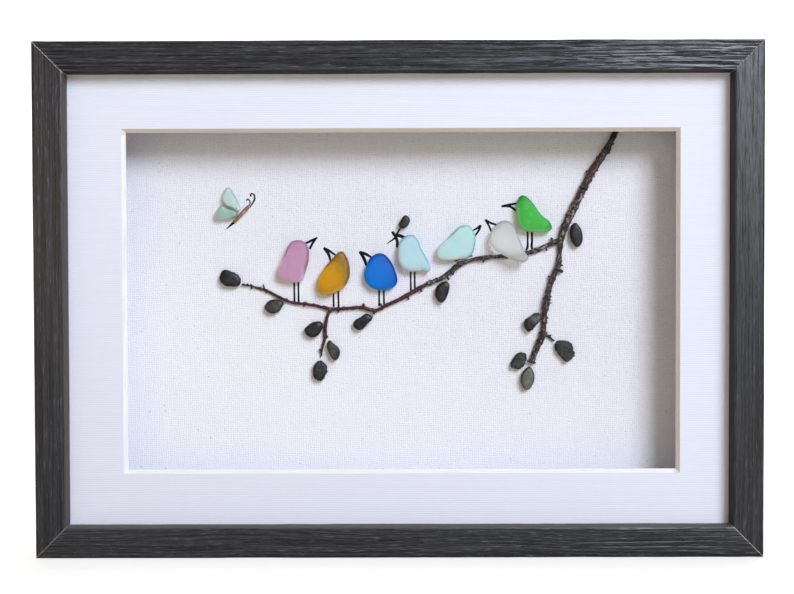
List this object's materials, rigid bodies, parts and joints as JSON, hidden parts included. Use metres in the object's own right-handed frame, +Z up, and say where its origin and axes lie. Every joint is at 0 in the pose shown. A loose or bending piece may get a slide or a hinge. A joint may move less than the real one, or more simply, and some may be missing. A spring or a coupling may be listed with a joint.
{
  "type": "framed glass art",
  "caption": "Deep shadow-box frame with a mat and a canvas picture of sea-glass birds on a natural twig with pebble leaves and a glass butterfly.",
  "frame": {"origin": "middle of the bottom edge that the frame stands on", "axes": "+Z up, +Y from the picture's front towards its back, +X to the viewer's right"},
  "size_m": [0.35, 0.0382, 0.248],
  "materials": {
    "charcoal_wood": "charcoal stain, satin",
    "mat_board": "white, fine ribs, cream bevel",
    "spacer_board": "matte white",
    "canvas_cloth": "white primed canvas on board",
    "back_board": "plain brown hardboard",
    "steel": "bright",
    "bark": "natural bark",
    "dark_pebble": "smooth matte",
    "olive_pebble": "smooth matte",
    "slate": "rough matte",
    "glass_pink": "frosted by the sea",
    "glass_amber": "frosted by the sea",
    "glass_blue": "frosted by the sea",
    "glass_pale_blue": "frosted by the sea",
    "glass_aqua": "frosted by the sea",
    "glass_green": "frosted by the sea",
    "glass_white": "frosted by the sea",
    "glass_wing_upper": "frosted by the sea",
    "glass_wing_lower": "frosted by the sea"
  },
  "bodies": {
    "root": {"rail_top": "charcoal_wood", "rail_bottom": "charcoal_wood", "rail_left": "charcoal_wood", "rail_right": "charcoal_wood", "mat": "mat_board", "spacer_top": "spacer_board", "spacer_bottom": "spacer_board", "spacer_left": "spacer_board", "spacer_right": "spacer_board", "canvas_panel": "canvas_cloth", "back_board": "back_board", "point_top_1": "steel", "point_top_2": "steel", "point_bottom_1": "steel", "point_bottom_2": "steel", "point_left_1": "steel", "point_left_2": "steel", "point_right_1": "steel", "point_right_2": "steel", "hanger": "steel", "rivet_1": "steel", "rivet_2": "steel", "twig": "bark", "butterfly_body": "bark", "bird_pink": "glass_pink", "bird_amber": "glass_amber", "bird_blue": "glass_blue", "bird_pale_blue": "glass_pale_blue", "bird_aqua": "glass_aqua", "bird_white": "glass_white", "bird_green": "glass_green", "wing_upper": "glass_wing_upper", "wing_lower": "glass_wing_lower", "pebble_1": "dark_pebble", "pebble_2": "dark_pebble", "pebble_3": "dark_pebble", "pebble_4": "dark_pebble", "pebble_5": "dark_pebble", "pebble_6": "dark_pebble", "pebble_7": "dark_pebble", "pebble_8": "dark_pebble", "pebble_9": "dark_pebble", "pebble_12": "olive_pebble", "pebble_sprig": "olive_pebble", "slate_10": "slate", "slate_11": "slate"}
  },
  "joints": []
}
